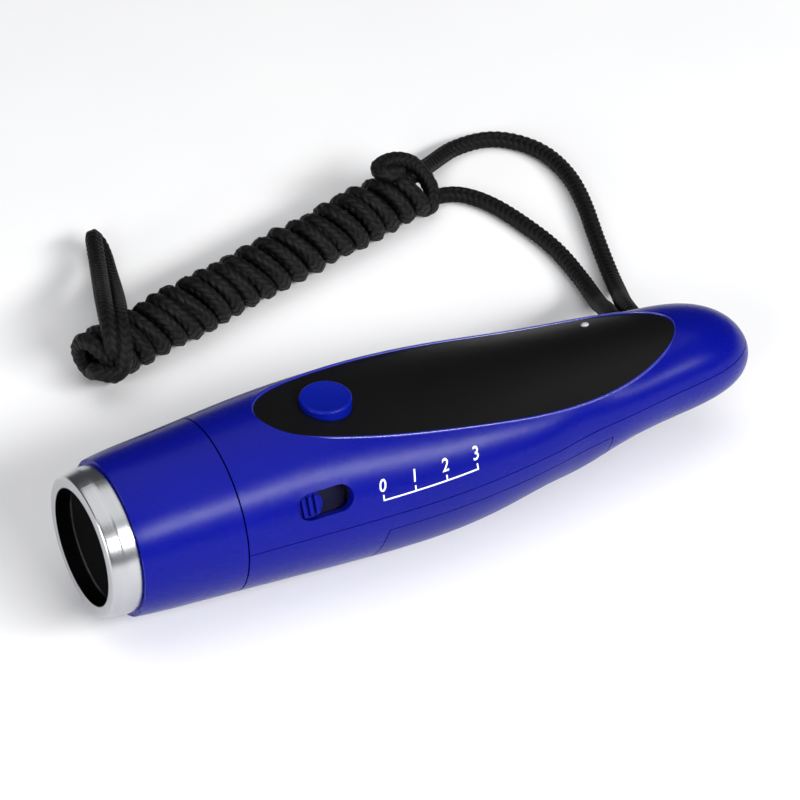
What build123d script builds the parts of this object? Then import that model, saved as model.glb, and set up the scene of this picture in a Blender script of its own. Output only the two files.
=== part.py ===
from build123d import *
import math
import os

# Electronic training whistle with a braided neck lanyard wound into a hank. Millimetres.
# Origin: centre of the mouth rim. +X runs back to the tail, +Z is up through the push button,
# and the tone slider is on the -Y side. The whistle and its lanyard lie on one flat surface.

# ---- driving dimensions: casing ----
MOUTH_BORE_R = 11.0
RING_LIP_R = 13.2
RING_R = 13.7
RING_VISIBLE = 5.5
RING_SPIGOT_R = 13.2
RING_SPIGOT_END = 11.5
RING_BORE_LENGTH = 3.2
BARREL_FRONT_R = 14.6
SEAM_X = 25.0
SEAM_GAP = 0.3
WALL = 2.0
PARTING_GAP = 0.2
BELLY_R = 18.6
FLOOR_Z = -BELLY_R

# Stations of the casing: x, half width, height above and depth below the centre, centre height.
CASING = [
    (5.0, 14.55, 14.55, 14.55, 0.0),
    (14.0, 15.5, 15.5, 15.5, 0.0),
    (25.0, 16.25, 16.25, 16.25, 0.0),
    (38.0, 17.2, 17.0, 17.2, 0.0),
    (50.0, 18.05, 16.6, 18.05, 0.0),
    (63.0, 18.6, 15.2, 18.6, 0.0),
    (76.0, 18.0, 13.3, 18.0, 0.0),
    (90.0, 16.0, 11.1, 16.0, 0.0),
    (104.0, 13.65, 9.0, 13.65, -0.05),
    (116.0, 11.85, 8.2, 11.75, -0.35),
    (125.0, 10.6, 7.9, 10.5, -0.95),
    (130.5, 8.9, 6.9, 8.7, -1.7),
    (134.6, 5.9, 4.9, 5.8, -2.6),
    (136.6, 2.4, 2.0, 2.4, -3.1),
]
TAIL_TIP = (137.0, 0.0, -3.2)

# ---- driving dimensions: top panel ----
# Half widths of the leaf-shaped outline, and the height of the panel along its middle.
PANEL_OUTLINE = [
    (35.2, 2.6),
    (37.0, 5.2),
    (41.0, 7.8),
    (48.5, 10.2),
    (58.0, 12.0),
    (69.0, 13.1),
    (81.0, 13.5),
    (92.0, 13.0),
    (102.0, 11.7),
    (110.0, 9.6),
    (116.0, 6.8),
    (119.6, 3.9),
]
PANEL_FRONT_X = 34.6
PANEL_REAR_X = 121.4
PANEL_SPINE = [(30.0, 16.9), (42.0, 14.95), (56.0, 13.1), (72.0, 11.4), (88.0, 9.9), (104.0, 8.4), (124.0, 6.9)]
PANEL_EDGE_Z = [(30.0, 16.5), (42.0, 14.7), (56.0, 12.25), (72.0, 9.4), (88.0, 6.4), (104.0, 5.1), (124.0, 5.1)]
PANEL_EDGE_Y = [(30.0, 7.0), (42.0, 8.2), (56.0, 11.6), (72.0, 13.2), (88.0, 13.3), (104.0, 11.4), (124.0, 8.0)]
PANEL_THICK = 1.4
PANEL_FLOOR = 1.6
PANEL_CLEAR = 0.12
DIMPLE_CENTRE = (106.0, 6.0, 8.0)
DIMPLE_R = 0.95

# ---- driving dimensions: button and slider ----
BUTTON_X = 48.7
BUTTON_R = 4.8
BUTTON_TOP_Z = 15.9
BUTTON_TRAVEL = 1.0
BUTTON_HOLE_CLEAR = 0.08
SLOT_X0 = 35.0
SLOT_X1 = 45.7
SLOT_WIDTH = 5.1
SLOT_TILT = 69.0
SLIDER_LENGTH = 5.2
SLIDER_TRAVEL = 4.95

# ---- driving dimensions: battery bay ----
DOOR_X0 = 51.0
DOOR_X1 = 101.0
DOOR_EDGE_Z = -3.4
DOOR_GAP = 0.2
DOOR_SWING_R = 50.0
DOOR_PIVOT = (101.0, -14.3)
CELL_R = 5.25
CELL_LENGTH = 44.5
CELL_NUB = 0.8
CELL_Y = 5.45
CELL_Z = -4.5
CELL_LEFT_X = 54.3
CELL_RIGHT_X = 52.15
BAY_BACK_X = 98.9

# ---- driving dimensions: board and screws ----
BOARD = (37.0, 67.0, -5.5, 11.5, 2.0, 3.2)
BOARD_SCREWS = [(39.5, 9.4), (48.6, 9.4)]
SHELL_SCREWS = [(33.6, 0.0), (106.6, 0.0)]
TACT_SIZE = 6.0
TACT_TOP_Z = 6.4
FLANGE_R = 5.9
FLANGE_Z0 = 9.1
FLANGE_Z1 = 9.95

# ---- driving dimensions: lanyard ----
CORD_D = 3.4
CORD_Z = FLOOR_Z + CORD_D / 2 + 0.05
ANCHOR_X = 118.0
ANCHOR_Y = 6.0
BEND_R = 2.5
HANK_R = 5.8
HANK_LEFT = (33.5, 64.0)
HANK_RIGHT = (112.0, 84.5)
HANK_Z = FLOOR_Z + HANK_R

# Routes of the free cord, corner by corner. Strand A leaves the tail nearer its tip.
STRAND_A = [
    (120.5, 6.0, 0.0),
    (120.5, 16.0, 0.0),
    (126.0, 25.0, -6.5),
    (131.5, 34.5, -13.8),
    (135.0, 44.0, CORD_Z),
    (139.0, 57.0, CORD_Z),
    (143.5, 70.0, CORD_Z),
    (145.6, 80.5, CORD_Z),
    (144.6, 90.5, CORD_Z),
    (138.5, 98.2, CORD_Z),
    (129.5, 98.8, CORD_Z),
    (122.3, 94.4, CORD_Z + 1.4),
    (115.4, 88.4, CORD_Z + 4.6),
    (109.5, 85.4, CORD_Z + 6.0),
]
STRAND_B = [
    (115.5, 6.0, 0.0),
    (115.5, 16.0, 0.0),
    (120.6, 25.5, -6.8),
    (126.6, 35.0, -14.2),
    (129.6, 46.0, CORD_Z),
    (130.4, 58.0, CORD_Z),
    (128.8, 68.5, CORD_Z),
    (126.6, 77.5, CORD_Z),
    (121.6, 84.2, CORD_Z),
    (114.6, 86.0, CORD_Z + 0.4),
    (108.0, 83.4, CORD_Z + 1.6),
]
BIGHT = [
    (36.5, 66.0, CORD_Z + 2.0),
    (40.0, 75.0, CORD_Z),
    (46.6, 90.2, CORD_Z),
    (50.4, 103.4, CORD_Z),
    (50.6, 104.0, CORD_Z + 7.0),
    (46.9, 90.4, CORD_Z + 5.0),
    (40.4, 76.0, CORD_Z + 4.2),
    (36.0, 64.0, CORD_Z + 5.2),
]


def interpolate(table, x):
    """Straight-line value at x in a list of (x, value)."""
    for (x0, v0), (x1, v1) in zip(table, table[1:]):
        if x0 <= x <= x1:
            return v0 + (v1 - v0) * (x - x0) / (x1 - x0)
    return table[0][1] if x < table[0][0] else table[-1][1]


def ring_x(x0, x1, r_out, r_in):
    """Tube along X."""
    face = Plane.YZ * (Circle(r_out) - Circle(r_in))
    return Pos(x0, 0, 0) * extrude(face, amount=x1 - x0)


def disc_x(x0, x1, r):
    """Plain cylinder along X."""
    return Pos(x0, 0, 0) * extrude(Plane.YZ * Circle(r), amount=x1 - x0)


def turned_x(points):
    """Solid of revolution about X from (x, r) corners."""
    outline = Polyline(*[(x, 0, r) for x, r in points], close=True)
    return revolve(make_face(outline), Axis.X)


def block(x0, x1, y0, y1, z0, z1):
    """Box between two corners."""
    return Pos((x0 + x1) / 2, (y0 + y1) / 2, (z0 + z1) / 2) * Box(x1 - x0, y1 - y0, z1 - z0)


def post_z(x, y, z0, z1, r):
    """Cylinder along Z."""
    return Pos(x, y, (z0 + z1) / 2) * Cylinder(r, z1 - z0)


def casing_section(x, half_width, up, down, centre_z, inset):
    """Egg-shaped section: half ellipse above, half circle or ellipse below."""
    w = half_width - inset
    plane = Plane(origin=(x, 0, centre_z), x_dir=(0, 1, 0), z_dir=(1, 0, 0))
    upper = plane * EllipticalCenterArc((0, 0), w, up - inset, 0, arc_size=180)
    lower = plane * EllipticalCenterArc((0, 0), w, down - inset, 180, arc_size=180)
    return Wire([*upper.edges(), *lower.edges()])


def casing_solid(inset, x_from, x_to):
    """The whole outside of the casing, or the same shape drawn in by inset."""
    wires = [casing_section(*row, inset) for row in CASING if row[2] > inset + 1.5]
    end = [Vertex(*TAIL_TIP)] if inset == 0 else []
    solid = Solid.make_loft([*wires, *end])
    return solid & block(x_from, x_to, -30, 30, -30, 30)


def above_panel(drop):
    """Everything above the panel's crowned surface lowered by drop."""
    wires = []
    for x, spine in PANEL_SPINE:
        edge_y = interpolate(PANEL_EDGE_Y, x)
        rise = spine - interpolate(PANEL_EDGE_Z, x)
        crown_r = (edge_y**2 + rise**2) / (2 * rise)
        reach = 16.5
        side_z = spine - crown_r + math.sqrt(max(crown_r**2 - reach**2, 1.0))
        plane = Plane(origin=(x, 0, -drop), x_dir=(0, 1, 0), z_dir=(1, 0, 0))
        arc = plane * ThreePointArc((-reach, side_z), (0, spine), (reach, side_z))
        rest = plane * Polyline((reach, side_z), (reach, 40), (-reach, 40), (-reach, side_z))
        wires.append(Wire([*arc.edges(), *rest.edges()]))
    return Solid.make_loft(wires)


def panel_prism(inset):
    """Upright prism with the panel's leaf-shaped outline."""
    near = [(x, -(w - inset)) for x, w in PANEL_OUTLINE]
    front = (PANEL_FRONT_X + inset, 0)
    rear = (PANEL_REAR_X - inset, 0)
    far = [(x, -y) for x, y in reversed(near)]
    return extrude(make_face(Spline(front, *near, rear, *far, periodic=True)), amount=40)


def radial_plane(x, radius):
    """Plane square to the slider's radial direction on the -Y side; its x runs along +X."""
    tilt = math.radians(SLOT_TILT)
    normal = (0, -math.sin(tilt), math.cos(tilt))
    origin = (x, radius * normal[1], radius * normal[2])
    return Plane(origin=origin, x_dir=(1, 0, 0), z_dir=normal)


def mouth_ring():
    """Turned aluminium ring: rounded lip, short taper, band, and a spigot inside the barrel."""
    lip = RING_LIP_R
    return turned_x([
        (0, MOUTH_BORE_R),
        (0, lip - 0.45),
        (0.08, lip - 0.22),
        (0.25, lip - 0.06),
        (0.55, lip + 0.03),
        (2.6, RING_R - 0.08),
        (2.9, RING_R),
        (RING_VISIBLE - 0.15, RING_R),
        (RING_VISIBLE, RING_R - 0.15),
        (RING_VISIBLE, RING_SPIGOT_R),
        (RING_SPIGOT_END, RING_SPIGOT_R),
        (RING_SPIGOT_END, 12.65),
        (9.0, 12.65),
        (9.0, 12.1),
        (RING_BORE_LENGTH, 12.1),
        (RING_BORE_LENGTH, MOUTH_BORE_R),
    ])


def horn_sleeve():
    """Black sleeve that lines the mouth behind the ring's lip."""
    return ring_x(RING_BORE_LENGTH, 8.9, 12.05, 11.3)


def front_barrel():
    """Blue moulded barrel with a rear spigot that the two shells clamp."""
    rear = SEAM_X - SEAM_GAP / 2
    outer = casing_solid(0, RING_VISIBLE + 0.05, rear)
    outer += ring_x(rear - 1.0, 30.0, 14.0, 12.4)
    bore = disc_x(RING_VISIBLE - 1, 21.0, RING_SPIGOT_R + 0.05) + disc_x(20.9, 31.0, 12.4)
    groove = ring_x(26.4, 28.0, 14.5, 13.3)
    return outer - bore - groove


def seam_seal():
    """Rubber ring in the barrel's groove."""
    return ring_x(26.5, 27.9, 14.05, 13.35)


def speaker_gasket():
    """Light grey foam ring between the sleeve and the speaker."""
    return ring_x(9.02, 9.9, 12.55, 10.5)


def speaker_frame():
    """Pressed steel basket, open at the front."""
    return turned_x([
        (9.95, 10.5),
        (9.95, 12.6),
        (10.9, 12.6),
        (15.2, 8.95),
        (15.2, 8.4),
        (14.4, 8.4),
        (10.7, 11.6),
        (10.7, 10.5),
    ])


def diaphragm():
    """Film diaphragm with a rolled edge and a domed centre."""
    front = [(10.8, 11.0), (10.75, 10.3), (10.3, 9.7), (10.9, 8.9), (12.0, 7.2), (11.0, 5.2), (10.3, 3.0), (10.05, 0.0)]
    back = [(x + 0.3, r) for x, r in reversed(front)]
    return turned_x([*front, *back])


def voice_coil():
    """Copper winding on the back of the diaphragm."""
    return ring_x(12.35, 16.6, 7.2, 6.75)


def speaker_pole():
    """Steel pole piece on the magnet."""
    return disc_x(12.9, 14.1, 6.55)


def speaker_magnet():
    """Disc magnet."""
    return disc_x(14.15, 17.35, 6.1)


def speaker_yoke():
    """Steel pot that holds the magnet."""
    return disc_x(15.3, 18.6, 8.35) - disc_x(15.0, 17.4, 7.45)


def speaker_leads():
    """Two insulated leads from the speaker to the board."""
    return [Pos(x, y, 3.75) * Rot(0, 90, 0) * Cylinder(0.5, 18.8) for x, y in ((28.05, 4.2), (28.05, 5.9))]


def slot_prism(length, width, r0, r1, x):
    """Obround prism along the slider's radial direction."""
    return extrude(radial_plane(x, r0) * SlotOverall(length, width), amount=r1 - r0)


def radial_block(length, width, r0, r1, x):
    """Box square to the slider's radial direction."""
    return extrude(radial_plane(x, r0) * Rectangle(length, width), amount=r1 - r0)


def lanyard_window():
    """Obround hole through the side of the tail, half in each shell."""
    plane = Plane(origin=(ANCHOR_X, 4.0, 0), x_dir=(1, 0, 0), z_dir=(0, 1, 0))
    return extrude(plane * SlotOverall(2 * BEND_R + CORD_D + 0.8, CORD_D + 0.8), amount=14)


def bay_cut():
    """Opening for the battery door; its front edge is an arc about the door's pivot."""
    reach = Pos(DOOR_PIVOT[0], 0, DOOR_PIVOT[1]) * Rot(90, 0, 0) * Cylinder(DOOR_SWING_R, 60)
    return block(45, DOOR_X1, -30, 30, -30, DOOR_EDGE_Z) & reach


def door_envelope():
    """The same space less the gap all round."""
    reach = Pos(DOOR_PIVOT[0], 0, DOOR_PIVOT[1]) * Rot(90, 0, 0) * Cylinder(DOOR_SWING_R - DOOR_GAP, 60)
    return block(45, DOOR_X1 - DOOR_GAP, -30, 30, -30, DOOR_EDGE_Z - DOOR_GAP) & reach


def shell_halves():
    """Upper shell, lower shell and battery door, cut from one hollow casing."""
    half = PARTING_GAP / 2
    whole = casing_solid(0, SEAM_X + SEAM_GAP / 2, 140)
    inner = casing_solid(WALL, SEAM_X - 1, 140) - above_panel(PANEL_THICK + PANEL_FLOOR)
    hollow = whole - inner - (above_panel(PANEL_THICK) & panel_prism(0))
    upper = hollow & block(0, 140, -30, 30, half, 30)
    lower = hollow & block(0, 140, -30, 30, -30, -half)
    door = lower & door_envelope()
    lower = lower - bay_cut()

    tongue = casing_solid(WALL / 2 + 0.1, 32, 107) - casing_solid(WALL + 0.8, 31, 108)
    lower = lower + (tongue & block(32, 107, -30, 30, -1.6, 1.2))
    upper = upper - (casing_solid(WALL / 2, 31.8, 107.2) & block(31.8, 107.2, -30, 30, -0.2, 1.35))

    skin = casing_solid(WALL / 2, SEAM_X + 0.5, 134)
    window = lanyard_window()
    seats = [post_z(x, y, half, 16, 2.6) for x, y in SHELL_SCREWS]
    seats += [post_z(x, y, BOARD[5] + 0.02, 16, 2.0) for x, y in BOARD_SCREWS]
    seats.append(post_z(BUTTON_X, 0, FLANGE_Z1 + 0.05, 14, 7.0))
    seats.append(post_z(ANCHOR_X, ANCHOR_Y, 2.2, 10, 1.9))
    roof = above_panel(PANEL_THICK)
    for seat in seats:
        upper = upper + ((seat & skin) - roof)
    for x, y in SHELL_SCREWS:
        upper = upper - post_z(x, y, -1, 5.2, 1.03)
    for x, y in BOARD_SCREWS:
        upper = upper - post_z(x, y, -1, 7.2, 0.83)
    upper = upper - post_z(BUTTON_X, 0, 0, 30, BUTTON_R + BUTTON_HOLE_CLEAR)
    upper = upper - post_z(ANCHOR_X, ANCHOR_Y, 0, 3.6, 0.78)
    slot_x = (SLOT_X0 + SLOT_X1) / 2
    upper = upper - slot_prism(SLOT_X1 - SLOT_X0, SLOT_WIDTH, 12.0, 22.0, slot_x) - window

    for x, y in SHELL_SCREWS:
        lower = lower + (post_z(x, y, -20, -half, 3.3) & skin)
    lower = lower + (post_z(ANCHOR_X, ANCHOR_Y, -20, -2.2, 2.2) & skin)
    for x, y in SHELL_SCREWS:
        lower = lower - post_z(x, y, -20, -5.6, 2.3) - post_z(x, y, -6, 1, 1.2)
    lower = lower - post_z(ANCHOR_X, ANCHOR_Y, -5.0, 0, 0.78) - window
    return upper, lower, finished_door(door)


def finished_door(door):
    """Door skin with a rear hook and thumb grooves."""
    x1 = DOOR_X1 - DOOR_GAP
    riser = block(x1 - 1.6, x1, -3.4, 3.4, -13.2, -9.9) & casing_solid(WALL / 2, 90, 104)
    hook = block(x1 - 1.6, DOOR_X1 + 1.2, -3.4, 3.4, -10.9, -9.9)
    door = door + riser + hook
    for k in range(5):
        bar = Pos(55.5 + 1.7 * k, 0, FLOOR_Z + 0.1) * Rot(90, 0, 0) * Cylinder(0.55, 16)
        door = door - bar
    return door


def inlay_panel():
    """Black soft-touch panel; a crowned leaf-shaped slab with a button hole and a small dimple."""
    slab = (above_panel(PANEL_THICK) - above_panel(0)) & panel_prism(PANEL_CLEAR)
    hole = post_z(BUTTON_X, 0, 0, 30, BUTTON_R + BUTTON_HOLE_CLEAR)
    return slab - hole - Pos(*DIMPLE_CENTRE) * Sphere(DIMPLE_R)


def push_button():
    """Round cap with a retaining flange and a stem."""
    cap = Pos(BUTTON_X, 0, (FLANGE_Z1 + BUTTON_TOP_Z) / 2) * Cylinder(BUTTON_R, BUTTON_TOP_Z - FLANGE_Z1)
    cap = fillet(cap.edges().group_by(Axis.Z)[-1], 0.45)
    flange = post_z(BUTTON_X, 0, FLANGE_Z0, FLANGE_Z1, FLANGE_R)
    stem = post_z(BUTTON_X, 0, 7.25, FLANGE_Z0 + 0.1, 1.5)
    dish = Pos(BUTTON_X, 0, BUTTON_TOP_Z + 38.0) * Sphere(38.25)
    return cap + flange + stem - dish


def coil_spring(x, y, z, radius, wire_r, height, turns, turn_about=None):
    """Open coil of round wire, standing on its lower end."""
    path = Helix(height / turns, height, radius)
    start = path @ 0
    profile = Plane(origin=start, z_dir=path % 0) * Circle(wire_r)
    coil = sweep(profile, path=path)
    if turn_about is not None:
        coil = Rot(0, turn_about, 0) * coil
    return Pos(x, y, z) * coil


def button_spring():
    return coil_spring(BUTTON_X, 0, TACT_TOP_Z + 0.3, 2.5, 0.22, FLANGE_Z0 - TACT_TOP_Z - 0.6, 4)


def tact_switch():
    """Square tact switch body with a well for its plunger."""
    half = TACT_SIZE / 2
    body = block(BUTTON_X - half, BUTTON_X + half, -half, half, BOARD[5], TACT_TOP_Z)
    return body - post_z(BUTTON_X, 0, 4.8, 7, 1.75)


def tact_plunger():
    return post_z(BUTTON_X, 0, 6.0, 7.2, 1.68)


def slider_centre():
    return SLOT_X0 + SLIDER_LENGTH / 2 + 0.1


def tone_knob():
    """Ribbed thumb knob that runs in the slot."""
    x = slider_centre()
    knob = slot_prism(SLIDER_LENGTH, SLOT_WIDTH - 0.5, 14.3, 15.9, x)
    for k in (-1, 0, 1):
        knob += radial_block(0.65, SLOT_WIDTH - 1.5, 15.8, 16.6, x + 1.25 * k)
    return knob - radial_block(1.7, 1.7, 14.0, 15.5, x)


def slider_carrier():
    """Black shutter plate under the slot that carries the knob."""
    x = slider_centre()
    return radial_block(15.0, 5.8, 13.45, 14.2, x) - radial_block(1.7, 1.7, 13.0, 15.0, x)


def switch_lever():
    """Lever of the slide switch, up through the shutter into the knob."""
    return radial_block(1.6, 1.6, 11.6, 15.3, slider_centre())


def slide_switch():
    """Four-position slide switch body with a channel for its lever."""
    mid = slider_centre() + SLIDER_TRAVEL / 2
    body = radial_block(13.4, 4.8, 9.7, 13.2, mid)
    return body - radial_block(SLIDER_TRAVEL + 2.1, 1.9, 11.3, 14.0, mid)


def switch_board():
    """Small board under the slide switch."""
    return radial_block(15.4, 7.0, 8.65, 9.65, slider_centre() + SLIDER_TRAVEL / 2)


def main_board():
    board = block(*BOARD)
    for x, y in BOARD_SCREWS:
        board = board - post_z(x, y, 0, 5, 0.9)
    return board


def board_screws():
    return [post_z(x, y, 0.9, 1.98, 1.7) + post_z(x, y, 1.9, 6.8, 0.8) for x, y in BOARD_SCREWS]


def shell_screws():
    return [post_z(x, y, -7.2, -5.65, 2.1) + post_z(x, y, -5.8, 4.9, 1.0) for x, y in SHELL_SCREWS]


def transformer():
    """Wound step-up transformer: core with a coil bulge."""
    core = block(52.5, 60.0, -4.6, 2.4, BOARD[5], 8.0)
    return core - block(52.0, 54.0, -5, 3, 4.6, 6.6) - block(58.5, 61, -5, 3, 4.6, 6.6)


def controller_chip():
    return block(40.0, 44.6, -2.0, 1.6, BOARD[5], 4.8)


def capacitors():
    return [post_z(x, y, BOARD[5], 8.4, 2.0) for x, y in ((62.6, 6.4), (57.6, 6.8))]


def battery_tray():
    """Plate over the cells with an end wall at each end of the bay."""
    plate = block(52.0, 100.5, -10.9, 10.9, 1.0, 1.8)
    front = block(50.9, 51.8, -10.6, 10.6, -10.3, 0.5) + block(51.0, 52.4, -10.6, 10.6, 0.2, 1.8)
    rear = block(99.4, 100.3, -8.4, 8.4, -8.0, 1.0)
    return plate + front + rear


def cell(x, y, nub_ahead):
    """AAA cell along X; its raised contact faces the tail when nub_ahead is true."""
    body = CELL_LENGTH - CELL_NUB
    start = x if nub_ahead else x + CELL_NUB
    can = fillet(disc_x(0, body, CELL_R).edges(), 0.5)
    nub_x = body - 0.01 if nub_ahead else -CELL_NUB
    nub = disc_x(nub_x, nub_x + CELL_NUB + 0.01, 1.9)
    return Pos(start, y, CELL_Z) * (can + nub)


def contact_plates():
    """Nickel strips on the bay's end walls: two at the front, one bridging the back."""
    front = [block(51.85, 52.1, y - 3.6, y + 3.6, CELL_Z - 3.4, CELL_Z + 3.6) for y in (-CELL_Y, CELL_Y)]
    return [*front, block(BAY_BACK_X, BAY_BACK_X + 0.3, -8.2, 8.2, -7.6, -1.4)]


def contact_springs():
    """One compression spring at each cell's flat end."""
    front = coil_spring(52.4, -CELL_Y, CELL_Z, 2.6, 0.25, 1.55, 2, 90)
    back = coil_spring(96.95, CELL_Y, CELL_Z, 2.6, 0.25, 1.6, 2, 90)
    return [front, back]


def lanyard_anchor():
    """Steel pin in the tail that the lanyard turns round."""
    return post_z(ANCHOR_X, ANCHOR_Y, -4.9, 3.5, 0.75)


def cord_tube(name, points):
    """Round tube along straight runs joined by tangent arcs, with its radii and volume check."""
    corners = [Vector(*p) for p in points]
    runs = [b - a for a, b in zip(corners, corners[1:])]
    radii = []
    for first, second in zip(runs, runs[1:]):
        turn = math.radians(first.get_angle(second))
        radii.append(0.45 * min(first.length, second.length) / math.tan(turn / 2))
    path = FilletPolyline(*corners, radius=radii)
    tube = sweep(Plane(origin=path @ 0, z_dir=path % 0) * Circle(CORD_D / 2), path=path)
    ratio = tube.volume / (math.pi * CORD_D**2 / 4 * path.length)
    print(name, "length", round(path.length, 1), "radii", [round(r, 1) for r in radii], "volume ratio", round(ratio, 4))
    return tube


def lanyard_bend():
    """Half turn of cord round the anchor pin, inside the tail."""
    path = CenterArc((ANCHOR_X, ANCHOR_Y, 0), BEND_R, 180, 180)
    return sweep(Plane(origin=path @ 0, z_dir=path % 0) * Circle(CORD_D / 2), path=path)


def lanyard_hank():
    """Outer shape of the tight hank: a round bundle with softened ends."""
    left = Vector(*HANK_LEFT, HANK_Z)
    right = Vector(*HANK_RIGHT, HANK_Z)
    axis = right - left
    bundle = extrude(Plane(origin=left, z_dir=axis) * Circle(HANK_R), amount=axis.length)
    return fillet(bundle.edges().filter_by(GeomType.CIRCLE), 2.2)


def save(name, shape):
    """Write one node; a list becomes a group of separate solids."""
    solids = shape if isinstance(shape, list) else [shape]
    solids = [s for item in solids for s in item.solids()]
    export_step(Compound(children=solids) if len(solids) > 1 else solids[0], f"parts/{name}.step")


def main():
    os.makedirs("parts", exist_ok=True)
    upper, lower, door = shell_halves()
    nodes = {
        "mouth_ring": mouth_ring(),
        "horn_sleeve": horn_sleeve(),
        "front_barrel": front_barrel(),
        "seam_seal": seam_seal(),
        "upper_shell": upper,
        "lower_shell": lower,
        "battery_door": door,
        "inlay_panel": inlay_panel(),
        "push_button": push_button(),
        "button_spring": button_spring(),
        "tact_switch": tact_switch(),
        "tact_plunger": tact_plunger(),
        "tone_knob": tone_knob(),
        "slider_carrier": slider_carrier(),
        "switch_lever": switch_lever(),
        "slide_switch": slide_switch(),
        "switch_board": switch_board(),
        "main_board": main_board(),
        "board_screws": board_screws(),
        "transformer": transformer(),
        "controller_chip": controller_chip(),
        "capacitors": capacitors(),
        "speaker_gasket": speaker_gasket(),
        "speaker_frame": speaker_frame(),
        "diaphragm": diaphragm(),
        "voice_coil": voice_coil(),
        "speaker_pole": speaker_pole(),
        "speaker_magnet": speaker_magnet(),
        "speaker_yoke": speaker_yoke(),
        "speaker_leads": speaker_leads(),
        "battery_tray": battery_tray(),
        "battery_cell_left": cell(CELL_LEFT_X, -CELL_Y, True),
        "battery_cell_right": cell(CELL_RIGHT_X, CELL_Y, False),
        "contact_plates": contact_plates(),
        "contact_springs": contact_springs(),
        "shell_screws": shell_screws(),
        "lanyard_anchor": lanyard_anchor(),
        "lanyard_bend": lanyard_bend(),
        "lanyard_strand_a": cord_tube("strand a", STRAND_A),
        "lanyard_strand_b": cord_tube("strand b", STRAND_B),
        "lanyard_bight": cord_tube("bight", BIGHT),
        "lanyard_hank": lanyard_hank(),
    }
    for name, shape in nodes.items():
        save(name, shape)


main()
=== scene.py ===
import math
import random

import bmesh
import bpy
import numpy as np
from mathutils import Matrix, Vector


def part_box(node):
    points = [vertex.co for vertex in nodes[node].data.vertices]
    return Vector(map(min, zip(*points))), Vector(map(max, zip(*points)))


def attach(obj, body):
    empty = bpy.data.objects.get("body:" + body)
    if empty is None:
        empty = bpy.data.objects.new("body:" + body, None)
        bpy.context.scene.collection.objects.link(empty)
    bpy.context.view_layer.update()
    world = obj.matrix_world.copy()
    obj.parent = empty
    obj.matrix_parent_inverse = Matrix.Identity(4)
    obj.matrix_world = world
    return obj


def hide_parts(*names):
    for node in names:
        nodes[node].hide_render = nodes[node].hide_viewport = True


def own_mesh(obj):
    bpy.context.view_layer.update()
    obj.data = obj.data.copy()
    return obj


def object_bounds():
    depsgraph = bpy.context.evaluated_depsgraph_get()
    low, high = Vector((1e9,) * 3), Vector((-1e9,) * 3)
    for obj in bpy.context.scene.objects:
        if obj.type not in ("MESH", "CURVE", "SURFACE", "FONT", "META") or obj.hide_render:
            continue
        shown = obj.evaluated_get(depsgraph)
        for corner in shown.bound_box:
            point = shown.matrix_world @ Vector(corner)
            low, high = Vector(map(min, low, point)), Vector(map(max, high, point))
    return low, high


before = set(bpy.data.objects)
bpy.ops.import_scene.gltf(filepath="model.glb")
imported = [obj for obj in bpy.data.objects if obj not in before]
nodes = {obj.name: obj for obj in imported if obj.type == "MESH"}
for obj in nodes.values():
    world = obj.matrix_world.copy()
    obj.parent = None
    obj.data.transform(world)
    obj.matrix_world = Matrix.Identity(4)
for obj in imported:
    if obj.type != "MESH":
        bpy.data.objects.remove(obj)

cad_low, cad_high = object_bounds()


# ---- studio: camera, floor and lamps ----
# The whistle lies on a plain pale table top, belly down, seen from its slider side. Large soft
# lamps hang above it and beside it, as over a product table.
TARGET = Vector((0.06384, 0.0, 0.00947))
CAMERA_DISTANCE = 0.7971
AZIMUTH = math.radians(-28.24)
ELEVATION = math.radians(38.0)
LENS = 198.5
FLOOR_Z = cad_low.z

toward_lens = Vector((
    math.sin(AZIMUTH) * math.cos(ELEVATION),
    -math.cos(AZIMUTH) * math.cos(ELEVATION),
    math.sin(ELEVATION),
))
bpy.ops.object.camera_add(location=TARGET + toward_lens * CAMERA_DISTANCE)
camera = bpy.context.object
camera.rotation_euler = (-toward_lens).to_track_quat("-Z", "Y").to_euler()
camera.data.sensor_width = 36.0
camera.data.lens = LENS
camera.data.clip_start = 0.02
camera.data.clip_end = 20.0
bpy.context.scene.camera = camera
bpy.context.scene.view_settings.view_transform = "Standard"

TABLE_SIZE = 6.0
bpy.ops.mesh.primitive_plane_add(size=TABLE_SIZE, location=(TARGET.x, 0.03, FLOOR_Z))
table = bpy.context.object
table.name = "table_top"

room = bpy.data.worlds.new("room")
room.use_nodes = True
room_light = room.node_tree.nodes["Background"].inputs
room_light["Color"].default_value = (0.9, 0.93, 1.0, 1.0)
room_light["Strength"].default_value = 0.08
bpy.context.scene.world = room


def soft_lamp(name, place, width, height, watts):
    """A large flat lamp that faces the whistle."""
    place = Vector(place)
    bpy.ops.object.light_add(type="AREA", location=place)
    lamp = bpy.context.object
    lamp.name = name
    lamp.rotation_euler = (TARGET - place).to_track_quat("-Z", "Y").to_euler()
    lamp.data.shape = "RECTANGLE"
    lamp.data.size = width
    lamp.data.size_y = height
    lamp.data.energy = watts


soft_lamp("lamp_front", (0.36, -0.78, 0.55), 0.85, 0.18, 13.0)
soft_lamp("lamp_above", (0.15, 0.10, 1.6), 2.0, 2.0, 15.0)
soft_lamp("lamp_mouth_side", (-0.8, -0.15, 0.16), 0.35, 0.35, 3.0)
soft_lamp("lamp_left", (-0.62, -0.62, 0.52), 0.30, 0.30, 3.4)


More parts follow.
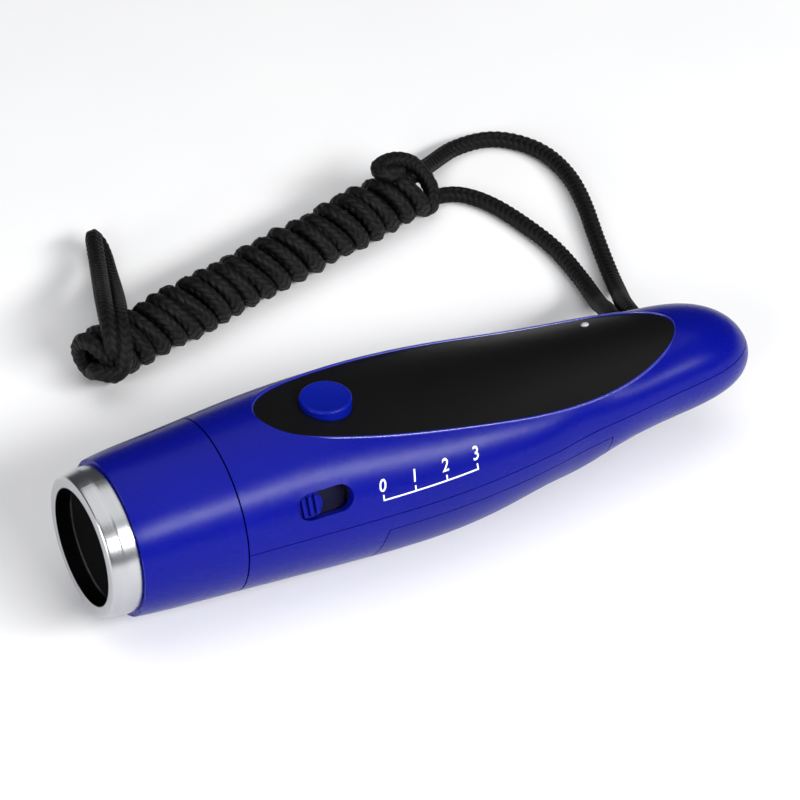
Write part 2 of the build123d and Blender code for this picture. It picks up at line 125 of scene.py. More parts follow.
class Field:
    """A value that varies over a surface: one output socket in a material's node tree."""

    def __init__(self, tree, output):
        self.tree = tree
        self.output = output

    def node(self, kind, settings, sockets, output=0):
        """Adds any node: its settings first, then its sockets' values or links."""
        made = self.tree.nodes.new(kind)
        for key, value in settings.items():
            if key == "stops":
                ramp = made.color_ramp
                while len(ramp.elements) < len(value):
                    ramp.elements.new(1.0)
                for element, (position, colour) in zip(ramp.elements, value):
                    element.position = position
                    element.color = (*colour, 1.0)
            else:
                setattr(made, key, value)
        for key, value in sockets.items():
            if isinstance(value, Field):
                self.tree.links.new(value.output, made.inputs[key])
            else:
                made.inputs[key].default_value = value
        return Field(self.tree, made.outputs[output])

    def maths(self, operation, first, second=0.0):
        return self.node("ShaderNodeMath", {"operation": operation}, {0: first, 1: second})

    def __add__(self, other):
        return self.maths("ADD", self, other)

    def __sub__(self, other):
        return self.maths("SUBTRACT", self, other)

    def __rsub__(self, other):
        return self.maths("SUBTRACT", other, self)

    def __mul__(self, other):
        return self.maths("MULTIPLY", self, other)

    def __mod__(self, other):
        return self.maths("FLOORED_MODULO", self, other)

    def __pow__(self, other):
        return self.maths("POWER", self, other)

    def __abs__(self):
        return self.maths("ABSOLUTE", self)

    __radd__ = __add__
    __rmul__ = __mul__

    def sine(self):
        return self.maths("SINE", self)

    def part(self, axis):
        """One of a vector's three numbers."""
        return self.node("ShaderNodeSeparateXYZ", {}, {0: self}, "XYZ".index(axis))

    def stretched(self, x, y, z):
        """The same coordinates, closer or wider set along each axis."""
        return self.node(
            "ShaderNodeMapping", {"vector_type": "POINT"}, {"Vector": self, "Scale": (x, y, z)},
        )

    def from_axis(self):
        """How far a place is from the casing's long axis."""
        return (self.part("Y") ** 2.0 + self.part("Z") ** 2.0) ** 0.5

    def cloud(self, scale, detail=2.0):
        """Soft random patches, from 0 to 1, this many to the metre."""
        return self.node(
            "ShaderNodeTexNoise", {}, {"Vector": self, "Scale": scale, "Detail": detail},
        )

    def between(self, low, high):
        """0 below low, 1 above high."""
        return self.node(
            "ShaderNodeMapRange", {"interpolation_type": "SMOOTHSTEP"},
            {"Value": self, "From Min": low, "From Max": high},
        )

    def tint(self, nothing, full):
        """A colour between two, by this value. Each may be a colour or a field of colours."""
        first, second = (
            colour if isinstance(colour, Field) else (*colour, 1.0) for colour in (nothing, full)
        )
        return self.node("ShaderNodeMix", {"data_type": "RGBA"}, {0: self, 6: first, 7: second}, 2)


class Finish:
    """One material: a plain shader whose constants are set on its sockets, and its patterns."""

    def __init__(self, name, **constants):
        self.material = bpy.data.materials.new(name)
        self.material.use_nodes = True
        self.tree = self.material.node_tree
        self.shader = self.tree.nodes["Principled BSDF"]
        for socket, value in constants.items():
            self.shader.inputs[socket.replace("_", " ")].default_value = value
        coordinates = self.tree.nodes.new("ShaderNodeTexCoord").outputs
        self.place = Field(self.tree, coordinates["Object"])
        self.map = Field(self.tree, coordinates["UV"])

    def feed(self, socket, value):
        self.tree.links.new(value.output, self.shader.inputs[socket])

    def relief(self, height, depth, strength=1.0):
        """Shades the surface as if height stood this many metres tall."""
        self.feed("Normal", self.place.node(
            "ShaderNodeBump", {}, {"Height": height, "Distance": depth, "Strength": strength},
        ))


paper = Finish("pale_table", Roughness=0.6)
paper.feed("Base Color", paper.place.cloud(30.0, 3.0).tint((0.86, 0.86, 0.87), (0.9, 0.9, 0.9)))
table.data.materials.append(paper.material)


# ---- lanyard ----
# One 3.4 mm round braid of black polyester. It leaves the tail as two strands round a steel pin,
# and its whole length is wound into a tight hank whose folded end sticks out as a bight.
CORD_D = 0.0034
CORD_R = CORD_D / 2
CORD_Z = FLOOR_Z + CORD_R + 0.00005
BRAID_COLUMNS = 6
BRAID_RELIEF = 0.00034
STITCH_PITCH = 0.0015
STITCH_SLANT = 0.9
RINGS_PER_METRE = 3900
SIDES = 24
HANK_Z = -0.0126
HANK_LEFT = Vector((0.0318, 0.0636, HANK_Z))
HANK_RIGHT = Vector((0.1128, 0.0848, HANK_Z))
TURNS = 21
POINTS_PER_TURN = 12
TURN_R = 0.0043
TURN_LEAN = 0.0020
FIRST_TURN_SWELL = 1.08
FIRST_LEAN_SHARE = 0.4
LEAN_GAIN = 0.2
END_POINTS = 8
END_STEP = 0.00025
END_SHRINK = 0.6

outgoing = [
    (0.1180, 0.0033, 0.0),
    (0.1204, 0.0034, 0.0),
    (0.1206, 0.0080, 0.0),
    (0.1212, 0.0150, -0.0008),
    (0.1256, 0.0248, -0.0064),
    (0.1312, 0.0345, -0.0136),
    (0.1350, 0.0440, CORD_Z),
    (0.1390, 0.0570, CORD_Z),
    (0.1435, 0.0700, CORD_Z),
    (0.1456, 0.0805, CORD_Z),
    (0.1446, 0.0905, CORD_Z),
    (0.1385, 0.0982, CORD_Z),
    (0.1295, 0.0988, CORD_Z),
    (0.1223, 0.0944, CORD_Z + 0.0014),
    (0.1154, 0.0884, CORD_Z + 0.0046),
    (0.1095, 0.0854, CORD_Z + 0.0060),
]
core = [
    (0.1030, 0.0825, HANK_Z + 0.0004),
    (0.0860, 0.0776, HANK_Z - 0.0003),
    (0.0640, 0.0718, HANK_Z + 0.0003),
    (0.0480, 0.0678, HANK_Z - 0.0002),
    (0.0385, 0.0632, -0.0112),
    (0.0340, 0.0586, -0.0098),
]
bight = [
    (0.0334, 0.0588, -0.0062),
    (0.0346, 0.0626, -0.0046),
    (0.0362, 0.0676, -0.0047),
    (0.0390, 0.0750, -0.0072),
    (0.0428, 0.0845, -0.0112),
    (0.0460, 0.0928, -0.0133),
    (0.0488, 0.1008, -0.0132),
    (0.0500, 0.1028, -0.0154),
    (0.0506, 0.1004, CORD_Z + 0.0002),
    (0.0482, 0.0918, CORD_Z),
    (0.0456, 0.0838, -0.0145),
    (0.0420, 0.0746, -0.0100),
    (0.0390, 0.0674, -0.0062),
    (0.0368, 0.0616, -0.0052),
    (0.0354, 0.0578, -0.0080),
    (0.0346, 0.0566, -0.0118),
    (0.0320, 0.0576, -0.0124),
    (0.0304, 0.0598, -0.0122),
]
right_lobe = [
    (0.1068, 0.0826, -0.0062),
    (0.1045, 0.0828, -0.0056),
    (0.1044, 0.0853, -0.0055),
    (0.1071, 0.0869, -0.0058),
    (0.1106, 0.0873, -0.0066),
    (0.1144, 0.0874, -0.0092),
    (0.1166, 0.0846, -0.0138),
    (0.1150, 0.0814, -0.0158),
    (0.1130, 0.0824, CORD_Z),
]
returning = [
    (0.1146, 0.0848, CORD_Z),
    (0.1192, 0.0852, CORD_Z),
    (0.1232, 0.0832, CORD_Z),
    (0.1266, 0.0775, CORD_Z),
    (0.1288, 0.0685, CORD_Z),
    (0.1304, 0.0580, CORD_Z),
    (0.1296, 0.0460, CORD_Z),
    (0.1266, 0.0350, -0.0142),
    (0.1217, 0.0250, -0.0066),
    (0.1176, 0.0152, -0.0008),
    (0.1160, 0.0082, 0.0),
    (0.1155, 0.0034, 0.0),
    (0.1180, 0.0033, 0.0),
]

# The turns round the core, left end first. They lean to one side and no two are quite alike.
along = (HANK_RIGHT - HANK_LEFT).normalized()
upward = Vector((0, 0, 1))
sideways = along.cross(upward)
hand = random.Random(11)
stations = [0.0]
sizes = [TURN_R * FIRST_TURN_SWELL]
leans = [TURN_LEAN * FIRST_LEAN_SHARE]
for turn in range(TURNS):
    stations.append(stations[-1] + 1.0 + hand.uniform(-0.13, 0.13))
    sizes.append(TURN_R * (1 + hand.uniform(-0.07, 0.09)))
    lean = TURN_LEAN * min(1.0, FIRST_LEAN_SHARE + LEAN_GAIN * turn)
    leans.append(lean + hand.uniform(-0.0006, 0.0006))
reach = (HANK_RIGHT - HANK_LEFT).length / stations[-1]
turns = []
for step in range(-END_POINTS, TURNS * POINTS_PER_TURN):
    turn, share = divmod(max(step, 0) / POINTS_PER_TURN, 1.0)
    turn = int(turn)
    station = (stations[turn] * (1 - share) + stations[turn + 1] * share) * reach
    size = sizes[turn] * (1 - share) + sizes[turn + 1] * share
    lean = leans[turn] * (1 - share) + leans[turn + 1] * share
    if step < 0:
        station += step * END_STEP
        size *= 1.0 + END_SHRINK * step / END_POINTS
    angle = 2 * math.pi * step / POINTS_PER_TURN
    centre = HANK_LEFT + along * (station - lean * math.cos(angle))
    point = centre + (upward * math.cos(angle) + sideways * math.sin(angle)) * size
    point.z = max(point.z, CORD_Z)
    turns.append(tuple(point))

route = outgoing + core + bight + turns + right_lobe + returning


def new_piece(name, data):
    """A piece at the origin that holds this mesh or curve."""
    piece = bpy.data.objects.new(name, data)
    bpy.context.scene.collection.objects.link(piece)
    return piece


def nurbs_line(name, points):
    """The smooth line that a cord takes between given points."""
    curve = bpy.data.curves.new(name, "CURVE")
    curve.dimensions = "3D"
    spline = curve.splines.new("NURBS")
    spline.points.add(len(points) - 1)
    for knot, point in zip(spline.points, points):
        knot.co = (*point, 1.0)
    spline.order_u = 3
    spline.use_endpoint_u = True
    spline.resolution_u = 16
    holder = new_piece(name, curve)
    bpy.context.view_layer.update()
    seen = holder.evaluated_get(bpy.context.evaluated_depsgraph_get())
    shape = bpy.data.meshes.new_from_object(seen)
    line = np.array([v.co for v in shape.vertices], float)
    bpy.data.objects.remove(holder)
    bpy.data.meshes.remove(shape)
    return line


def evenly(line, rings_per_metre):
    """The same line with its points a fixed distance apart, and its length."""
    runs = np.linalg.norm(np.diff(line, axis=0), axis=1)
    travelled = np.concatenate([[0.0], np.cumsum(runs)])
    keep = np.concatenate([[True], runs > 1e-9])
    count = int(travelled[-1] * rings_per_metre)
    stations = np.linspace(0.0, travelled[-1], count + 1)
    axes = [np.interp(stations, travelled[keep], line[keep, k]) for k in range(3)]
    return np.stack(axes, axis=1), travelled[-1]


def braid_height(column, stitch):
    """Relief of the braid, 0 to 1: columns of slanting stitches that meet in chevrons."""
    index = np.floor(column)
    across = column - index
    slant = 1.0 - 2.0 * (index % 2)
    wave = np.abs(np.sin(np.pi * (stitch + slant * (across - 0.5) * STITCH_SLANT)))
    ridge = 1.0 - (2.0 * across - 1.0) ** 2
    return (0.25 + 0.75 * wave ** 0.7) * (0.35 + 0.65 * ridge)


def braided_tube(name, line, length):
    """A closed tube along line, with the braid in its surface and its two counts as UV."""
    count = len(line)
    tangents = np.gradient(line, axis=0)
    tangents /= np.linalg.norm(tangents, axis=1)[:, None]
    normal = np.cross(tangents[0], (0.0, 0.0, 1.0))
    normals = [normal / np.linalg.norm(normal)]
    for tangent in tangents[1:]:
        moved = normals[-1] - tangent * normals[-1].dot(tangent)
        normals.append(moved / np.linalg.norm(moved))
    normals = np.array(normals)
    others = np.cross(tangents, normals)
    column = (np.arange(SIDES) + 0.5) / SIDES * BRAID_COLUMNS
    stitch = np.linspace(0.0, length / STITCH_PITCH, count)
    height = braid_height(column[None, :], stitch[:, None])
    reach_out = CORD_R + BRAID_RELIEF * (height - 0.8)
    angle = (2 * np.pi * (np.arange(SIDES) + 0.5) / SIDES)[None, :, None]
    ring = normals[:, None, :] * np.cos(angle) + others[:, None, :] * np.sin(angle)
    points = (line[:, None, :] + ring * reach_out[:, :, None]).reshape(-1, 3)
    first = np.arange(count - 1)[:, None] * SIDES
    side = np.arange(SIDES)[None, :]
    after = (side + 1) % SIDES
    quads = np.stack(
        [first + side, first + after, first + SIDES + after, first + SIDES + side], axis=2,
    )
    faces = quads.reshape(-1, 4).tolist()
    faces.append(list(range(SIDES - 1, -1, -1)))
    faces.append([(count - 1) * SIDES + k for k in range(SIDES)])
    mesh = bpy.data.meshes.new(name)
    mesh.from_pydata(points.tolist(), [], faces)
    left, low = column[None, :], stitch[:-1, None]
    right, high = left + BRAID_COLUMNS / SIDES, stitch[1:, None]
    corners = np.stack([
        np.stack(np.broadcast_arrays(across, along_cord), axis=2)
        for across, along_cord in ((left, low), (right, low), (right, high), (left, high))
    ], axis=2).reshape(-1, 2)
    layer = mesh.uv_layers.new(name="braid")
    ends = np.zeros((2 * SIDES, 2))
    layer.data.foreach_set("uv", np.concatenate([corners, ends]).astype(np.float32).ravel())
    mesh.shade_smooth()
    return new_piece(name, mesh)


lanyard_line, lanyard_length = evenly(nurbs_line("lanyard_route", route), RINGS_PER_METRE)
lanyard = braided_tube("lanyard_cord", lanyard_line, lanyard_length)

braid = Finish("braided_polyester", Specular_IOR_Level=0.14)
column = braid.map.part("X")
stitch = braid.map.part("Y")
across = column % 1.0
slant = 1.0 - 2.0 * ((column - across) % 2.0)
lay = stitch + slant * (across - 0.5) * STITCH_SLANT
FILAMENTS_PER_YARN = 5.0
yarn = abs((lay * math.pi).sine())
filament = abs((lay * (math.pi * FILAMENTS_PER_YARN)).sine())
ridge = 1.0 - (across * 2.0 - 1.0) ** 2.0
weave = yarn * 0.6 + filament * 0.22 + ridge * 0.3
braid.relief(weave, 0.00022, 0.8)
fuzz = braid.place.cloud(900.0, 3.0)
# The braid's colour is lighter on each yarn's crest, a painted highlight, and mottled at random by
# the fuzz.
crest_sheen_and_fuzz = yarn * ridge * 0.8 + fuzz * 0.3
braid.feed("Base Color", crest_sheen_and_fuzz.tint((0.0007, 0.0007, 0.0009), (0.0052, 0.0052, 0.0060)))
braid.feed("Roughness", 0.4 + fuzz * 0.25)
lanyard.data.materials.append(braid.material)

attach(lanyard, "root")
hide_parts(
    "lanyard_bend", "lanyard_strand_a", "lanyard_strand_b", "lanyard_bight",
    "lanyard_hank",
)


def select_only(piece):
    """Selects one piece and makes it active, for the operators that follow."""
    bpy.ops.object.select_all(action="DESELECT")
    piece.select_set(True)
    bpy.context.view_layer.objects.active = piece


def dress(finish, *names):
    """Gives CAD nodes a finish in place of their plain colour."""
    for name in names:
        for slot in nodes[name].material_slots:
            slot.material = finish.material


# ---- mouth ring ----
# Turned aluminium with a satin band and fine lathe lines round its axis. Its bore wall is
# coloured near black, painted shade inside the mouth, up to the bare metal at the inner end.
BORE_WALL_R = 0.01105
BORE_EDGE_R = 0.01118
BORE_SHADE_END_X = 0.00280
BARE_FROM_X = 0.00290
LATHE_LINES = 26000.0
LATHE_STREAKS = 5200.0

aluminium = Finish("turned_aluminium", Metallic=1.0)
depth_in = aluminium.place.part("X")
radius = aluminium.place.from_axis()


def turned_lines(per_metre, detail):
    """A pattern that is the same all round the axis, as a lathe leaves it."""
    profile = aluminium.place.node(
        "ShaderNodeCombineXYZ", {}, {0: depth_in * per_metre, 1: radius * per_metre},
    )
    return profile.cloud(1.0, detail)


streak = turned_lines(LATHE_STREAKS, 3.0)
turned = streak.tint((0.40, 0.405, 0.42), (0.56, 0.57, 0.59))
# The bore wall's near-black colour is painted shade. It stops short of the inner end.
bore_wall = 1.0 - radius.between(BORE_WALL_R, BORE_EDGE_R)
bare_end = depth_in.between(BORE_SHADE_END_X, BARE_FROM_X)
bore_shade = bore_wall * (1.0 - bare_end)
aluminium.feed("Base Color", bore_shade.tint(turned, (0.020, 0.022, 0.026)))
aluminium.feed("Roughness", 0.2 + streak * 0.1)
aluminium.relief(turned_lines(LATHE_LINES, 2.0), 0.000005)
dress(aluminium, "mouth_ring")


# ---- casing: barrel, shells and battery door ----
# Injection-moulded blue ABS with a fine even sheen. The gloss is a little uneven from handling,
# and the mould left a very fine grain.
COLOUR_DRIFT = 55.0
HANDLING_MARKS = 170.0
HANDLING_GLOSS = 0.08


def moulded(name, deep, bright, roughness, grain=3200.0, depth=0.000005, shine=0.13):
    """Moulded plastic: slow colour drift, handling marks in the gloss and a fine mould grain."""
    plastic = Finish(name, Specular_IOR_Level=shine)
    drift = plastic.place.cloud(COLOUR_DRIFT)
    handled = plastic.place.stretched(1.0, 2.0, 2.0).cloud(HANDLING_MARKS)
    plastic.feed("Base Color", drift.tint(deep, bright))
    plastic.feed("Roughness", roughness - HANDLING_GLOSS / 2 + handled * HANDLING_GLOSS)
    plastic.relief(plastic.place.cloud(grain), depth)
    return plastic


shell_blue = moulded("blue_shell_abs", (0.0006, 0.0026, 0.162), (0.0012, 0.0036, 0.208), 0.28)
dress(shell_blue, "front_barrel", "upper_shell", "lower_shell")
door_blue = moulded("blue_door_abs", (0.0006, 0.0025, 0.152), (0.0012, 0.0034, 0.195), 0.3)
dress(door_blue, "battery_door")


# ---- top panel, its lip and lens, and the push button ----
# The panel is a snap-in cover with a soft-touch black paint. The button is bare blue ABS,
# polished on top by thumbs.
MERGE_DISTANCE = 1e-6
BUTTON_HOLE_REACH = 0.006
LIP_R = 0.00030
WALL_NORMAL_Z = 0.2
TOP_NORMAL_Z = 0.5

soft_touch = moulded(
    "soft_touch_black", (0.0016, 0.0016, 0.0019), (0.0030, 0.0030, 0.0034), 0.4,
    grain=7800.0, depth=0.00001, shine=0.16,
)
dress(soft_touch, "inlay_panel")
button_blue = moulded(
    "blue_button_abs", (0.0012, 0.0060, 0.205), (0.0018, 0.0080, 0.250), 0.28,
)
dress(button_blue, "push_button")


def merged_copy(name):
    """A CAD node's mesh with its loose triangles joined, to read or to copy."""
    joined = bmesh.new()
    joined.from_mesh(nodes[name].data)
    bmesh.ops.remove_doubles(joined, verts=joined.verts, dist=MERGE_DISTANCE)
    return joined


# The pocket's edge is rolled into a thin polished lip that stands just proud of the panel. It
# follows the edge where the panel's top meets its outer wall.
button_low, button_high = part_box("push_button")
button_middle = (button_low + button_high) / 2
panel = merged_copy("inlay_panel")
rim_edges = []
for edge in panel.edges:
    if len(edge.link_faces) != 2:
        continue
    rises = [face.normal.z for face in edge.link_faces]
    meets_wall = min(abs(rise) for rise in rises) < WALL_NORMAL_Z
    meets_top = max(rises) > TOP_NORMAL_Z
    middle = (edge.verts[0].co + edge.verts[1].co) / 2
    clear_of_hole = (middle.xy - button_middle.xy).length > BUTTON_HOLE_REACH
    if meets_wall and meets_top and clear_of_hole:
        rim_edges.append(edge)
beside = {}
for edge in rim_edges:
    for here, there in (edge.verts, reversed(edge.verts)):
        beside.setdefault(here.index, []).append(there)
walk = [rim_edges[0].verts[0]]
passed = {walk[0].index}
while True:
    onward = [vertex for vertex in beside[walk[-1].index] if vertex.index not in passed]
    if not onward:
        break
    walk.append(onward[0])
    passed.add(onward[0].index)
rim_curve = bpy.data.curves.new("panel_lip", "CURVE")
rim_curve.dimensions = "3D"
rim = rim_curve.splines.new("POLY")
rim.points.add(len(walk) - 1)
for knot, vertex in zip(rim.points, walk):
    knot.co = (*vertex.co, 1.0)
rim.use_cyclic_u = True
panel.free()
rim_curve.bevel_depth = LIP_R
rim_curve.bevel_resolution = 2
panel_lip = new_piece("panel_lip", rim_curve)
select_only(panel_lip)
bpy.ops.object.convert(target="MESH")
panel_lip = bpy.context.object
# The lip's blue is lighter than the shell's, a painted highlight along the pocket's edge.
lip_highlight_blue = moulded(
    "blue_lip_painted_highlight", (0.008, 0.012, 0.24), (0.012, 0.016, 0.30), 0.22,
    grain=2600.0, depth=0.000002, shine=1.0,
)
panel_lip.data.materials.clear()
panel_lip.data.materials.append(lip_highlight_blue.material)
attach(panel_lip, "root")

# A small lens sits in the dimple near the panel's rear end. Its pale grey colour is a painted
# highlight, the glint on the lens.
LENS_R = 0.00078
LENS_FLATNESS = 0.62
LENS_PLACE = (0.1060, 0.0060, 0.00722)
LENS_TILT = math.radians(-16.0)

bpy.ops.object.select_all(action="DESELECT")
bpy.ops.mesh.primitive_uv_sphere_add(
    segments=32, ring_count=20, radius=LENS_R, location=(0, 0, 0),
)
lens = bpy.context.object
lens.name = "panel_lens"
bpy.ops.object.mode_set(mode="EDIT")
bpy.ops.mesh.select_all(action="SELECT")
bpy.ops.mesh.bisect(plane_co=(0, 0, 0), plane_no=(0, 0, 1), clear_inner=True, use_fill=True)
bpy.ops.mesh.select_all(action="SELECT")
bpy.ops.transform.resize(value=(1.0, 1.0, LENS_FLATNESS))
bpy.ops.object.mode_set(mode="OBJECT")
lens.location = LENS_PLACE
lens.rotation_euler = (LENS_TILT, 0.0, 0.0)
bpy.ops.object.transform_apply(location=True, rotation=True, scale=True)
lens.data.shade_smooth()
glint_lens = Finish("lens_painted_glint", Specular_IOR_Level=0.8)
scuffs = glint_lens.place.cloud(4200.0, 3.0)
glint_lens.feed("Base Color", scuffs.tint((0.30, 0.30, 0.33), (0.55, 0.55, 0.60)))
glint_lens.feed("Roughness", 0.06 + scuffs * 0.1)
lens.data.materials.append(glint_lens.material)
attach(lens, "root")


# ---- tone slider ----
# A ribbed blue knob in a slot through the shell, on a carrier that slides behind the slot and
# fills its floor. The carrier is coloured nearly black: painted shade on the slot's floor.
knob_blue = moulded("blue_knob_abs", (0.0010, 0.0036, 0.170), (0.0016, 0.0048, 0.215), 0.3)
dress(knob_blue, "tone_knob")
slot_floor_shade = moulded("slot_floor_painted_shade", (0.0012, 0.0014, 0.014), (0.0020, 0.0024, 0.022), 0.5)
dress(slot_floor_shade, "slider_carrier")


# ---- mouth interior: horn sleeve, gasket and speaker ----
# Behind the ring a black sleeve leads the sound out of a small moving-coil speaker. It sits on
# a foam gasket, and a rubber ring seals the seam behind the barrel.
FOAM_CELLS = 3600.0
FILM_ROLLS = 5200.0
WIRE_TURNS = 21000.0

black_abs = moulded("black_abs", (0.006, 0.006, 0.0065), (0.01, 0.01, 0.011), 0.45)
dress(black_abs, "horn_sleeve", "battery_tray")
rubber = moulded("seal_rubber", (0.008, 0.008, 0.008), (0.014, 0.014, 0.014), 0.6)
dress(rubber, "seam_seal")
foam = Finish("grey_foam", Roughness=0.95)
cells = foam.place.node(
    "ShaderNodeTexVoronoi", {}, {"Vector": foam.place, "Scale": FOAM_CELLS}, "Distance",
)
# The foam is darker at each cell's middle and lighter on the cell walls: painted shade in the
# pores.
foam.feed("Base Color", cells.tint((0.36, 0.37, 0.39), (0.72, 0.73, 0.76)))
foam.relief(cells, 0.00012)
dress(foam, "speaker_gasket")


def plated(name, dull, bright, roughness, patch_scale=1800.0):
    """Bare or plated metal with a faintly uneven finish."""
    metal = Finish(name, Metallic=1.0)
    patches = metal.place.cloud(patch_scale, 3.0)
    metal.feed("Base Color", patches.tint(dull, bright))
    metal.feed("Roughness", roughness - 0.08 + patches * 0.16)
    metal.relief(metal.place.cloud(patch_scale * 6, 1.0), 0.000004)
    return metal


pressed = plated("pressed_steel", (0.34, 0.34, 0.35), (0.52, 0.52, 0.53), 0.38)
dress(pressed, "speaker_frame", "speaker_pole", "speaker_yoke")
nickel = plated("magnet_nickel", (0.62, 0.60, 0.55), (0.74, 0.72, 0.68), 0.22)
dress(nickel, "speaker_magnet", "contact_plates")
film = Finish("dark_film", Roughness=0.28)
rolls = abs((film.place.from_axis() * FILM_ROLLS).sine())
# The film is lighter on each roll's crest and darker between rolls: painted highlight and painted
# shade.
film.feed("Base Color", rolls.tint((0.030, 0.031, 0.034), (0.085, 0.087, 0.092)))
film.relief(rolls, 0.00004)
dress(film, "diaphragm")
copper = Finish("copper_wire", Metallic=1.0, Roughness=0.3)
winding = abs((copper.place.part("X") * WIRE_TURNS).sine())
# The wire is darker in the grooves between turns and lighter on each turn's crest: painted shade
# and painted highlight.
copper.feed("Base Color", winding.tint((0.30, 0.12, 0.05), (0.72, 0.34, 0.16)))
copper.relief(winding, 0.00008)
dress(copper, "voice_coil")


# ---- boards and their parts ----
# Glass-epoxy boards with a green mask over the copper, small moulded and canned parts, and
# zinc-plated screws. All of it is out of sight inside the shells.
TRACK_SCALE = 420.0

mask = Finish("green_mask_board", Roughness=0.35)
tracks = mask.place.node(
    "ShaderNodeTexVoronoi", {"feature": "DISTANCE_TO_EDGE", "distance": "CHEBYCHEV"},
    {"Vector": mask.place.stretched(1.0, 1.6, 1.0), "Scale": TRACK_SCALE},
)
bare = tracks.between(0.05, 0.1)
mask.feed("Base Color", bare.tint((0.02, 0.16, 0.05), (0.008, 0.075, 0.028)))
mask.relief(bare, 0.00003)
dress(mask, "main_board", "switch_board")
zinc = plated("zinc_steel", (0.48, 0.48, 0.50), (0.68, 0.68, 0.70), 0.32)
dress(zinc, "board_screws", "shell_screws", "lanyard_anchor", "slide_switch")
spring = plated("spring_steel", (0.46, 0.46, 0.46), (0.66, 0.66, 0.66), 0.26, 3200.0)
dress(spring, "contact_springs")

# The button's return spring: a smooth-shaded copy of the CAD coils that takes the CAD node's
# place.
coils = merged_copy("button_spring")
spring_mesh = bpy.data.meshes.new("return_spring")
coils.to_mesh(spring_mesh)
coils.free()
return_spring = new_piece("return_spring", spring_mesh)
select_only(return_spring)
bpy.ops.object.shade_smooth()
return_spring.data.materials.append(spring.material)
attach(return_spring, "root")
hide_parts("button_spring")
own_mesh(return_spring)

dress(black_abs, "tact_switch", "switch_lever")
nylon = moulded("white_nylon", (0.50, 0.49, 0.45), (0.62, 0.61, 0.57), 0.45)
dress(nylon, "tact_plunger")
ferrite = moulded(
    "ferrite_core", (0.02, 0.02, 0.022), (0.05, 0.05, 0.052), 0.7, grain=2600.0, depth=0.00002,
)
dress(ferrite, "transformer")
epoxy = moulded(
    "chip_epoxy", (0.012, 0.012, 0.013), (0.02, 0.02, 0.021), 0.55, grain=9000.0, depth=0.00001,
)
dress(epoxy, "controller_chip")
can = plated("capacitor_can", (0.55, 0.56, 0.58), (0.76, 0.77, 0.79), 0.3)
dress(can, "capacitors")
sleeve = moulded("lead_sleeve", (0.28, 0.010, 0.008), (0.36, 0.016, 0.012), 0.4)
dress(sleeve, "speaker_leads")


# ---- battery cells ----
# Two AAA cells in printed shrink sleeves: a dark body, a coppery band at the rear end and a
# bare steel end past it.
BAND_LENGTH = 0.0135
BARE_END_LENGTH = 0.0012
PRINT_EDGE = 0.0003
STEEL_EDGE = 0.0002

jacket = Finish("cell_jacket")
rear_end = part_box("battery_cell_left")[1].x
along_cell = jacket.place.part("X")
band_start = rear_end - BAND_LENGTH
steel_start = rear_end - BARE_END_LENGTH
band = along_cell.between(band_start, band_start + PRINT_EDGE)
steel_end = along_cell.between(steel_start, steel_start + STEEL_EDGE)
printed = band.tint((0.012, 0.012, 0.014), (0.62, 0.30, 0.10))
jacket.feed("Base Color", steel_end.tint(printed, (0.62, 0.62, 0.62)))
jacket.feed("Metallic", band * 0.85)
jacket.feed("Roughness", 0.22 + jacket.place.cloud(500.0, 3.0) * 0.14)
dress(jacket, "battery_cell_left", "battery_cell_right")


# ---- tone scale ----
# White pad print on the upper shell behind the slider: a base line with a tick for each of the
# slider's four stops, and a number over each.
SCALE_X = (0.0512, 0.0575, 0.0638, 0.0702)
SCALE_Z = 0.0037
TICK_HEIGHT = 0.0010
STROKE = 0.00028
NUMBER_HEIGHT = 0.0021
NUMBER_Z = 0.0061
NUMBER_SLANT = 0.2
NUMBER_WEIGHT = 0.00003
FONT_SIZE = NUMBER_HEIGHT * 1.4
FONT_DROP = NUMBER_HEIGHT * 0.36
LINE_PIECES = 24
INK_THICKNESS = 0.00003
SHELL_CLEAR_Y = -0.03

ink = Finish("white_ink", Roughness=0.5)
coverage = ink.place.cloud(5200.0, 3.0)
ink.feed("Base Color", coverage.tint((0.62, 0.64, 0.72), (0.92, 0.92, 0.94)))
ink.relief(coverage, 0.000004)


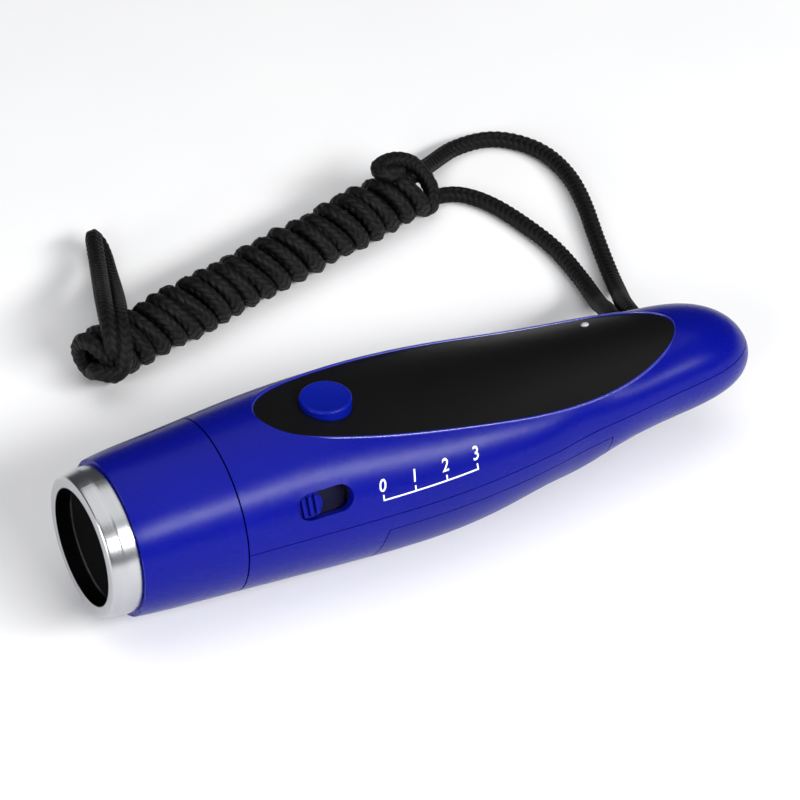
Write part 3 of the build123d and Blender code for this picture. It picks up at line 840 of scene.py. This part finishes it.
def printed_on_shell(piece):
    """Lays a flat upright piece on the upper shell's outside and gives the ink its thickness."""
    select_only(piece)
    bpy.ops.object.mode_set(mode="EDIT")
    bpy.ops.mesh.select_all(action="SELECT")
    bpy.ops.mesh.quads_convert_to_tris()
    bpy.ops.mesh.subdivide(number_cuts=2)
    bpy.ops.object.mode_set(mode="OBJECT")
    bpy.ops.object.transform_apply(location=True, rotation=True, scale=True)
    wrap = piece.modifiers.new("lie_on_shell", "SHRINKWRAP")
    wrap.target = nodes["upper_shell"]
    wrap.wrap_method = "PROJECT"
    wrap.use_project_y = True
    wrap.use_positive_direction = True
    wrap.use_negative_direction = False
    wrap.offset = INK_THICKNESS
    bpy.ops.object.modifier_apply(modifier="lie_on_shell")
    layer = piece.modifiers.new("ink_layer", "SOLIDIFY")
    layer.thickness = INK_THICKNESS
    layer.offset = 0.0
    bpy.ops.object.modifier_apply(modifier="ink_layer")
    piece.data.materials.clear()
    piece.data.materials.append(ink.material)
    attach(piece, "root")


def stroke(mesh, left, right, low, high, pieces):
    """One printed bar, standing upright and cut across so that it can follow the shell."""
    for k in range(pieces):
        start = left + (right - left) * k / pieces
        stop = left + (right - left) * (k + 1) / pieces
        corners = [(start, low), (stop, low), (stop, high), (start, high)]
        mesh.faces.new([mesh.verts.new((x, SHELL_CLEAR_Y, z)) for x, z in corners])


half = STROKE / 2
bars = bmesh.new()
stroke(bars, SCALE_X[0] - half, SCALE_X[-1] + half, SCALE_Z - half, SCALE_Z + half, LINE_PIECES)
for x in SCALE_X:
    stroke(bars, x - half, x + half, SCALE_Z + half, SCALE_Z + TICK_HEIGHT, 1)
bmesh.ops.remove_doubles(bars, verts=bars.verts, dist=1e-7)
scale_line = new_piece("scale_line", bpy.data.meshes.new("scale_line"))
bars.to_mesh(scale_line.data)
bars.free()
printed_on_shell(scale_line)

for count, x in enumerate(SCALE_X):
    bpy.ops.object.text_add(
        location=(x, SHELL_CLEAR_Y, NUMBER_Z - FONT_DROP), rotation=(math.pi / 2, 0, 0),
    )
    number = bpy.context.object
    number.data.body = str(count)
    number.data.align_x = "CENTER"
    number.data.size = FONT_SIZE
    number.data.shear = NUMBER_SLANT
    number.data.offset = NUMBER_WEIGHT
    number.data.resolution_u = 4
    select_only(number)
    bpy.ops.object.convert(target="MESH")
    number = bpy.context.object
    number.name = f"scale_number_{count}"
    printed_on_shell(number)
